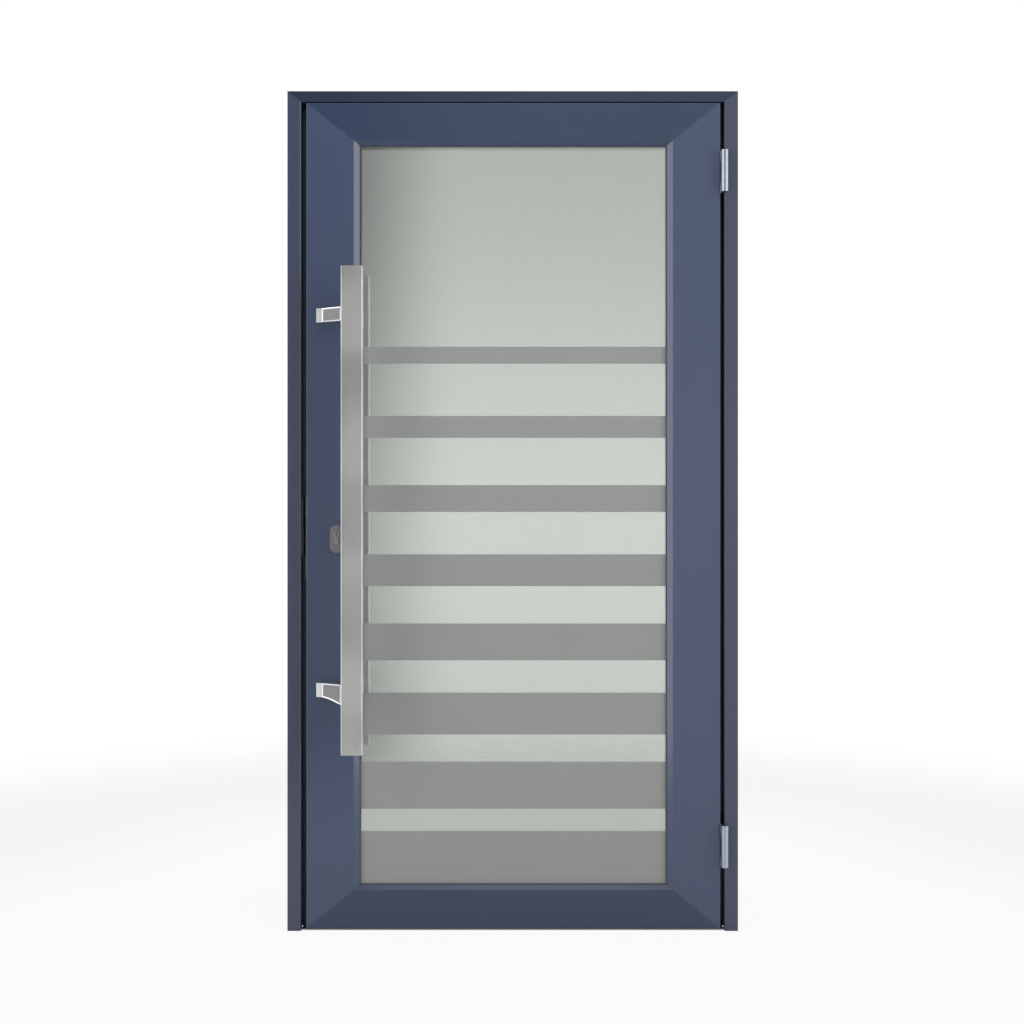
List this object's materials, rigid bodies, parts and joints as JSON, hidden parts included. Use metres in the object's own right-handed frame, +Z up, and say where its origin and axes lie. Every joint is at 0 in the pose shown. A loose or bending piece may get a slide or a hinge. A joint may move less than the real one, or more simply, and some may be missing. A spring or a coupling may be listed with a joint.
{
  "type": "glass entrance door",
  "caption": "Single-leaf aluminium entrance door with frame, double glazing with matt bands, cranked pull bar, key cylinder, roller latch and barrel hinges",
  "frame": {"origin": "middle of the frame's sole at floor level, half way through the frame's depth", "axes": "+X towards the hinges, +Y towards the inside of the building, +Z up"},
  "size_m": [1.127, 0.196, 2.1],
  "materials": {
    "frame_paint": "slate blue powder coat",
    "leaf_paint": "slate blue powder coat",
    "polyamide": "glass-filled polyamide",
    "rubber": "EPDM",
    "glass": "clear float glass with matt bands",
    "block_plastic": "moulded",
    "roller_plastic": "moulded black nylon",
    "aluminium": "mill finish",
    "hinge_metal": "satin anodised",
    "plated_steel": "nickel plated steel",
    "brushed_steel": "brushed stainless steel"
  },
  "bodies": {
    "frame": {"jamb_lock_outer": "frame_paint", "jamb_hinge_outer": "frame_paint", "head_outer": "frame_paint", "jamb_lock_inner": "frame_paint", "jamb_hinge_inner": "frame_paint", "head_inner": "frame_paint", "frame_break_bars": "polyamide", "frame_cleats": "aluminium", "threshold": "aluminium", "stop_gasket": "rubber", "sill_gasket": "rubber", "hinge_frame_high": "hinge_metal", "hinge_frame_low": "hinge_metal", "hinge_pins": "plated_steel", "hinge_frame_screws": "plated_steel", "strike_plate": "brushed_steel", "strike_screws": "plated_steel"},
    "leaf": {"stile_lock_outer": "leaf_paint", "stile_hinge_outer": "leaf_paint", "rail_top_outer": "leaf_paint", "rail_bottom_outer": "leaf_paint", "stile_lock_inner": "leaf_paint", "stile_hinge_inner": "leaf_paint", "rail_top_inner": "leaf_paint", "rail_bottom_inner": "leaf_paint", "leaf_break_bars": "polyamide", "leaf_cleats": "aluminium", "bead_lock": "leaf_paint", "bead_hinge": "leaf_paint", "bead_top": "leaf_paint", "bead_bottom": "leaf_paint", "gasket_outer": "rubber", "gasket_inner": "rubber", "pane_outer": "glass", "pane_inner": "glass", "pane_spacer": "aluminium", "pane_seal": "rubber", "setting_blocks": "block_plastic", "hinge_leaf_high": "hinge_metal", "hinge_leaf_low": "hinge_metal", "hinge_leaf_screws": "plated_steel", "pull_bar": "brushed_steel", "pull_brackets": "brushed_steel", "pull_bolts": "brushed_steel", "pull_bolt_caps": "brushed_steel", "bar_screws": "brushed_steel", "rose_outer": "brushed_steel", "rose_inner": "brushed_steel", "rose_screws": "plated_steel", "cylinder_body": "plated_steel", "lock_case": "plated_steel", "faceplate": "brushed_steel", "faceplate_screws": "plated_steel", "inner_pull": "brushed_steel"},
    "thumb_turn": {"thumb_turn": "brushed_steel"},
    "key_plug": {"key_plug": "plated_steel"},
    "dead_bolt": {"dead_bolt": "plated_steel"},
    "latch": {"latch_fork": "plated_steel", "latch_pin": "plated_steel"},
    "roller": {"latch_roller": "roller_plastic"}
  },
  "joints": [
    {"name": "leaf_hinge", "type": "hinge", "parent": "frame", "child": "leaf", "pos_m": [0.5285, -0.0477, 1.05], "axis": [0, 0, 1], "range_deg": [0, 100]},
    {"name": "thumb_turn_spin", "type": "hinge", "parent": "leaf", "child": "thumb_turn", "pos_m": [-0.4395, 0.03, 0.99], "axis": [0, 1, 0], "range_deg": [0, 360]},
    {"name": "key_plug_spin", "type": "hinge", "parent": "leaf", "child": "key_plug", "pos_m": [-0.4395, -0.04, 0.99], "axis": [0, 1, 0], "range_deg": [0, 360]},
    {"name": "dead_bolt_slide", "type": "slide", "parent": "leaf", "child": "dead_bolt", "axis": [-1, 0, 0], "range_m": [0, 0.02]},
    {"name": "latch_slide", "type": "slide", "parent": "leaf", "child": "latch", "axis": [1, 0, 0], "range_m": [0, 0.0055], "stiffness_N_per_m": 500, "springref_m": -0.004},
    {"name": "roller_spin", "type": "hinge", "parent": "latch", "child": "roller", "pos_m": [-0.519, -0.0105, 1.048], "axis": [0, 0, 1], "continuous": true}
  ],
  "couplings": [
    {"joint": "dead_bolt_slide", "follows": "thumb_turn_spin", "m_per_rad": 0.0031831},
    {"joint": "key_plug_spin", "follows": "thumb_turn_spin", "ratio": 1}
  ]
}
